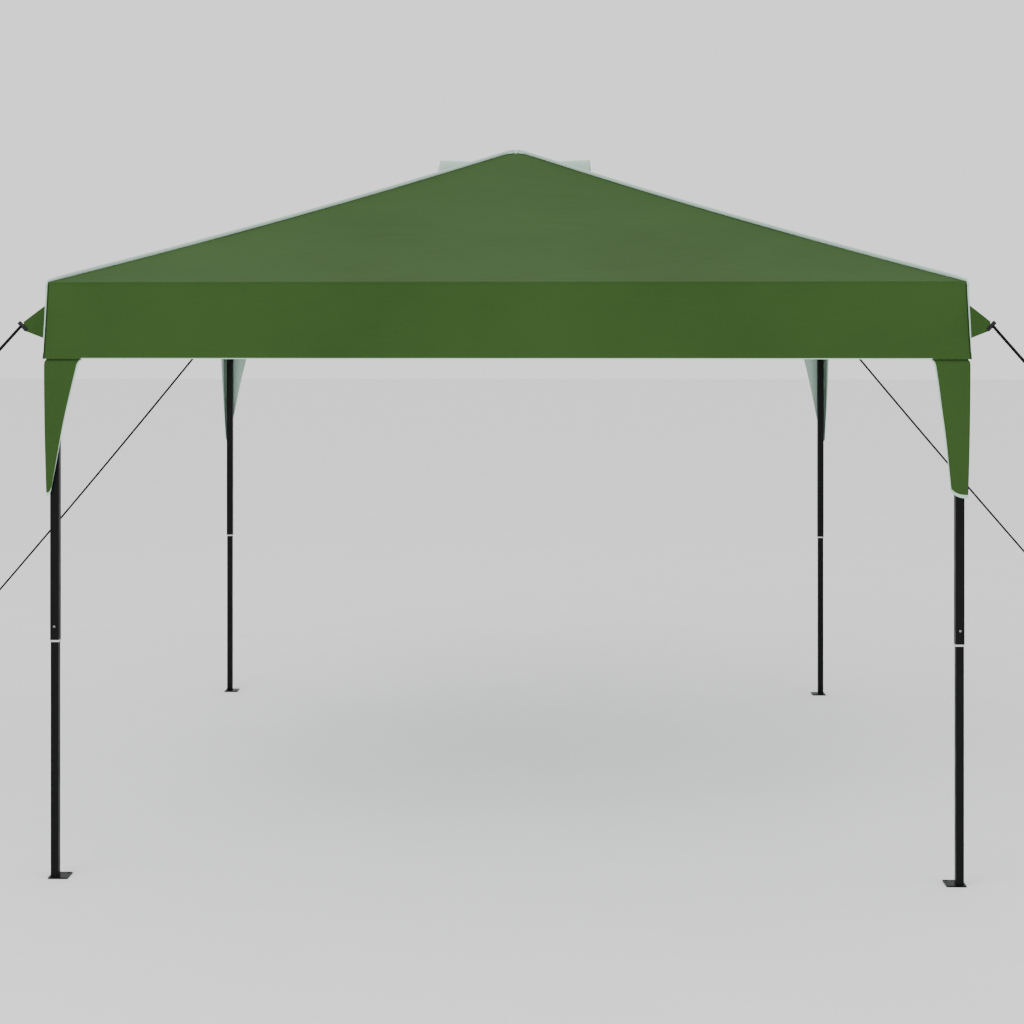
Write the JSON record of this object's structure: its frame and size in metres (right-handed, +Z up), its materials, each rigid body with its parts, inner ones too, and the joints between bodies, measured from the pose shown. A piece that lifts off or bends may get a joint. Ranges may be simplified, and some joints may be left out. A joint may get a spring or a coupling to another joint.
{
  "type": "pop up gazebo",
  "caption": "Square pop up gazebo with a peaked fabric canopy, straight valance, telescopic legs and a scissor frame that folds to a bundle.",
  "frame": {"origin": "on the ground, at the centre of the square between the four feet", "axes": "+Z up to the peak, +X to the right and +Y to the back, along the sides of the square"},
  "size_m": [5.6616, 3.6562, 2.4489],
  "materials": {
    "canopy_fabric": "matt woven coated polyester",
    "webbing": "matt woven webbing and cord",
    "powder_coated_steel": "satin black powder coat",
    "black_plastic": "matt moulded plastic",
    "pale_plastic": "matt pale grey plastic"
  },
  "bodies": {
    "canopy": {"upper_hub": "black_plastic", "peak_pole": "powder_coated_steel", "roof_panel_front": "canopy_fabric", "roof_panel_right": "canopy_fabric", "roof_panel_back": "canopy_fabric", "roof_panel_left": "canopy_fabric", "valance": "canopy_fabric", "leg_flap_front_left": "canopy_fabric", "leg_flap_front_right": "canopy_fabric", "leg_flap_back_right": "canopy_fabric", "leg_flap_back_left": "canopy_fabric", "guy_tab_front_left": "canopy_fabric", "guy_tab_front_right": "canopy_fabric", "guy_tab_back_right": "canopy_fabric", "guy_tab_back_left": "canopy_fabric", "guy_rope_front_left": "webbing", "guy_rope_front_right": "webbing", "guy_rope_back_right": "webbing", "guy_rope_back_left": "webbing"},
    "lower_hub": {"lower_hub": "black_plastic"},
    "inner_bar_down_front_left": {"inner_bar_down_front_left": "powder_coated_steel"},
    "inner_bar_up_front_left": {"inner_bar_up_front_left": "powder_coated_steel"},
    "outer_bar_up_front_left": {"outer_bar_up_front_left": "powder_coated_steel"},
    "outer_bar_down_front_left": {"outer_bar_down_front_left": "powder_coated_steel"},
    "runner_front_left": {"runner_front_left": "black_plastic"},
    "leg_front_left": {"outer_leg_front_left": "powder_coated_steel", "top_bracket_front_left": "black_plastic", "leg_collar_front_left": "pale_plastic"},
    "lower_leg_front_left": {"lower_leg_front_left": "powder_coated_steel", "foot_front_left": "powder_coated_steel"},
    "inner_bar_down_front_right": {"inner_bar_down_front_right": "powder_coated_steel"},
    "inner_bar_up_front_right": {"inner_bar_up_front_right": "powder_coated_steel"},
    "outer_bar_up_front_right": {"outer_bar_up_front_right": "powder_coated_steel"},
    "outer_bar_down_front_right": {"outer_bar_down_front_right": "powder_coated_steel"},
    "runner_front_right": {"runner_front_right": "black_plastic"},
    "leg_front_right": {"outer_leg_front_right": "powder_coated_steel", "top_bracket_front_right": "black_plastic", "leg_collar_front_right": "pale_plastic"},
    "lower_leg_front_right": {"lower_leg_front_right": "powder_coated_steel", "foot_front_right": "powder_coated_steel"},
    "inner_bar_down_back_right": {"inner_bar_down_back_right": "powder_coated_steel"},
    "inner_bar_up_back_right": {"inner_bar_up_back_right": "powder_coated_steel"},
    "outer_bar_up_back_right": {"outer_bar_up_back_right": "powder_coated_steel"},
    "outer_bar_down_back_right": {"outer_bar_down_back_right": "powder_coated_steel"},
    "runner_back_right": {"runner_back_right": "black_plastic"},
    "leg_back_right": {"outer_leg_back_right": "powder_coated_steel", "top_bracket_back_right": "black_plastic", "leg_collar_back_right": "pale_plastic"},
    "lower_leg_back_right": {"lower_leg_back_right": "powder_coated_steel", "foot_back_right": "powder_coated_steel"},
    "inner_bar_down_back_left": {"inner_bar_down_back_left": "powder_coated_steel"},
    "inner_bar_up_back_left": {"inner_bar_up_back_left": "powder_coated_steel"},
    "outer_bar_up_back_left": {"outer_bar_up_back_left": "powder_coated_steel"},
    "outer_bar_down_back_left": {"outer_bar_down_back_left": "powder_coated_steel"},
    "runner_back_left": {"runner_back_left": "black_plastic"},
    "leg_back_left": {"outer_leg_back_left": "powder_coated_steel", "top_bracket_back_left": "black_plastic", "leg_collar_back_left": "pale_plastic"},
    "lower_leg_back_left": {"lower_leg_back_left": "powder_coated_steel", "foot_back_left": "powder_coated_steel"}
  },
  "joints": [
    {"name": "fold", "type": "hinge", "parent": "canopy", "child": "inner_bar_down_front_left", "pos_m": [-0.05303, -0.05303, 1.855], "axis": [0.7071, -0.7071, 0], "range_deg": [0, 72.5]},
    {"name": "inner_cross_front_left", "type": "hinge", "parent": "inner_bar_down_front_left", "child": "inner_bar_up_front_left", "pos_m": [-0.38729, -0.38729, 1.76], "axis": [0.7071, -0.7071, 0], "range_deg": [-145, 0]},
    {"name": "mid_pivot_front_left", "type": "hinge", "parent": "inner_bar_down_front_left", "child": "outer_bar_up_front_left", "pos_m": [-0.72155, -0.72155, 1.665], "axis": [0.7071, -0.7071, 0], "range_deg": [-145, 0]},
    {"name": "outer_cross_front_left", "type": "hinge", "parent": "outer_bar_up_front_left", "child": "outer_bar_down_front_left", "pos_m": [-1.0558, -1.0558, 1.76], "axis": [0.7071, -0.7071, 0], "range_deg": [0, 145]},
    {"name": "leg_pivot_front_left", "type": "hinge", "parent": "outer_bar_up_front_left", "child": "leg_front_left", "pos_m": [-1.39006, -1.39006, 1.855], "axis": [0.7071, -0.7071, 0], "range_deg": [0, 72.5]},
    {"name": "runner_pivot_front_left", "type": "hinge", "parent": "outer_bar_down_front_left", "child": "runner_front_left", "pos_m": [-1.39006, -1.39006, 1.665], "axis": [0.7071, -0.7071, 0], "range_deg": [-72.5, 0]},
    {"name": "lower_hub_pivot", "type": "hinge", "parent": "inner_bar_up_front_left", "child": "lower_hub", "pos_m": [-0.05303, -0.05303, 1.665], "axis": [0.7071, -0.7071, 0], "range_deg": [0, 72.5]},
    {"name": "leg_slide_front_left", "type": "slide", "parent": "leg_front_left", "child": "lower_leg_front_left", "axis": [0, 0, 1], "range_m": [0, 0.7]},
    {"name": "hub_pivot_front_right", "type": "hinge", "parent": "canopy", "child": "inner_bar_down_front_right", "pos_m": [0.05303, -0.05303, 1.855], "axis": [0.7071, 0.7071, 0], "range_deg": [0, 72.5]},
    {"name": "inner_cross_front_right", "type": "hinge", "parent": "inner_bar_down_front_right", "child": "inner_bar_up_front_right", "pos_m": [0.38729, -0.38729, 1.76], "axis": [0.7071, 0.7071, 0], "range_deg": [-145, 0]},
    {"name": "mid_pivot_front_right", "type": "hinge", "parent": "inner_bar_down_front_right", "child": "outer_bar_up_front_right", "pos_m": [0.72155, -0.72155, 1.665], "axis": [0.7071, 0.7071, 0], "range_deg": [-145, 0]},
    {"name": "outer_cross_front_right", "type": "hinge", "parent": "outer_bar_up_front_right", "child": "outer_bar_down_front_right", "pos_m": [1.0558, -1.0558, 1.76], "axis": [0.7071, 0.7071, 0], "range_deg": [0, 145]},
    {"name": "leg_pivot_front_right", "type": "hinge", "parent": "outer_bar_up_front_right", "child": "leg_front_right", "pos_m": [1.39006, -1.39006, 1.855], "axis": [0.7071, 0.7071, 0], "range_deg": [0, 72.5]},
    {"name": "runner_pivot_front_right", "type": "hinge", "parent": "outer_bar_down_front_right", "child": "runner_front_right", "pos_m": [1.39006, -1.39006, 1.665], "axis": [0.7071, 0.7071, 0], "range_deg": [-72.5, 0]},
    {"name": "leg_slide_front_right", "type": "slide", "parent": "leg_front_right", "child": "lower_leg_front_right", "axis": [0, 0, 1], "range_m": [0, 0.7]},
    {"name": "hub_pivot_back_right", "type": "hinge", "parent": "canopy", "child": "inner_bar_down_back_right", "pos_m": [0.05303, 0.05303, 1.855], "axis": [-0.7071, 0.7071, 0], "range_deg": [0, 72.5]},
    {"name": "inner_cross_back_right", "type": "hinge", "parent": "inner_bar_down_back_right", "child": "inner_bar_up_back_right", "pos_m": [0.38729, 0.38729, 1.76], "axis": [-0.7071, 0.7071, 0], "range_deg": [-145, 0]},
    {"name": "mid_pivot_back_right", "type": "hinge", "parent": "inner_bar_down_back_right", "child": "outer_bar_up_back_right", "pos_m": [0.72155, 0.72155, 1.665], "axis": [-0.7071, 0.7071, 0], "range_deg": [-145, 0]},
    {"name": "outer_cross_back_right", "type": "hinge", "parent": "outer_bar_up_back_right", "child": "outer_bar_down_back_right", "pos_m": [1.0558, 1.0558, 1.76], "axis": [-0.7071, 0.7071, 0], "range_deg": [0, 145]},
    {"name": "leg_pivot_back_right", "type": "hinge", "parent": "outer_bar_up_back_right", "child": "leg_back_right", "pos_m": [1.39006, 1.39006, 1.855], "axis": [-0.7071, 0.7071, 0], "range_deg": [0, 72.5]},
    {"name": "runner_pivot_back_right", "type": "hinge", "parent": "outer_bar_down_back_right", "child": "runner_back_right", "pos_m": [1.39006, 1.39006, 1.665], "axis": [-0.7071, 0.7071, 0], "range_deg": [-72.5, 0]},
    {"name": "leg_slide_back_right", "type": "slide", "parent": "leg_back_right", "child": "lower_leg_back_right", "axis": [0, 0, 1], "range_m": [0, 0.7]},
    {"name": "hub_pivot_back_left", "type": "hinge", "parent": "canopy", "child": "inner_bar_down_back_left", "pos_m": [-0.05303, 0.05303, 1.855], "axis": [-0.7071, -0.7071, 0], "range_deg": [0, 72.5]},
    {"name": "inner_cross_back_left", "type": "hinge", "parent": "inner_bar_down_back_left", "child": "inner_bar_up_back_left", "pos_m": [-0.38729, 0.38729, 1.76], "axis": [-0.7071, -0.7071, 0], "range_deg": [-145, 0]},
    {"name": "mid_pivot_back_left", "type": "hinge", "parent": "inner_bar_down_back_left", "child": "outer_bar_up_back_left", "pos_m": [-0.72155, 0.72155, 1.665], "axis": [-0.7071, -0.7071, 0], "range_deg": [-145, 0]},
    {"name": "outer_cross_back_left", "type": "hinge", "parent": "outer_bar_up_back_left", "child": "outer_bar_down_back_left", "pos_m": [-1.0558, 1.0558, 1.76], "axis": [-0.7071, -0.7071, 0], "range_deg": [0, 145]},
    {"name": "leg_pivot_back_left", "type": "hinge", "parent": "outer_bar_up_back_left", "child": "leg_back_left", "pos_m": [-1.39006, 1.39006, 1.855], "axis": [-0.7071, -0.7071, 0], "range_deg": [0, 72.5]},
    {"name": "runner_pivot_back_left", "type": "hinge", "parent": "outer_bar_down_back_left", "child": "runner_back_left", "pos_m": [-1.39006, 1.39006, 1.665], "axis": [-0.7071, -0.7071, 0], "range_deg": [-72.5, 0]},
    {"name": "leg_slide_back_left", "type": "slide", "parent": "leg_back_left", "child": "lower_leg_back_left", "axis": [0, 0, 1], "range_m": [0, 0.7]}
  ],
  "couplings": [
    {"joint": "inner_cross_front_left", "follows": "fold", "ratio": -2},
    {"joint": "mid_pivot_front_left", "follows": "fold", "ratio": -2},
    {"joint": "outer_cross_front_left", "follows": "fold", "ratio": 2},
    {"joint": "leg_pivot_front_left", "follows": "fold", "ratio": 1},
    {"joint": "runner_pivot_front_left", "follows": "fold", "ratio": -1},
    {"joint": "lower_hub_pivot", "follows": "fold", "ratio": 1},
    {"joint": "hub_pivot_front_right", "follows": "fold", "ratio": 1},
    {"joint": "inner_cross_front_right", "follows": "fold", "ratio": -2},
    {"joint": "mid_pivot_front_right", "follows": "fold", "ratio": -2},
    {"joint": "outer_cross_front_right", "follows": "fold", "ratio": 2},
    {"joint": "leg_pivot_front_right", "follows": "fold", "ratio": 1},
    {"joint": "runner_pivot_front_right", "follows": "fold", "ratio": -1},
    {"joint": "hub_pivot_back_right", "follows": "fold", "ratio": 1},
    {"joint": "inner_cross_back_right", "follows": "fold", "ratio": -2},
    {"joint": "mid_pivot_back_right", "follows": "fold", "ratio": -2},
    {"joint": "outer_cross_back_right", "follows": "fold", "ratio": 2},
    {"joint": "leg_pivot_back_right", "follows": "fold", "ratio": 1},
    {"joint": "runner_pivot_back_right", "follows": "fold", "ratio": -1},
    {"joint": "hub_pivot_back_left", "follows": "fold", "ratio": 1},
    {"joint": "inner_cross_back_left", "follows": "fold", "ratio": -2},
    {"joint": "mid_pivot_back_left", "follows": "fold", "ratio": -2},
    {"joint": "outer_cross_back_left", "follows": "fold", "ratio": 2},
    {"joint": "leg_pivot_back_left", "follows": "fold", "ratio": 1},
    {"joint": "runner_pivot_back_left", "follows": "fold", "ratio": -1}
  ]
}
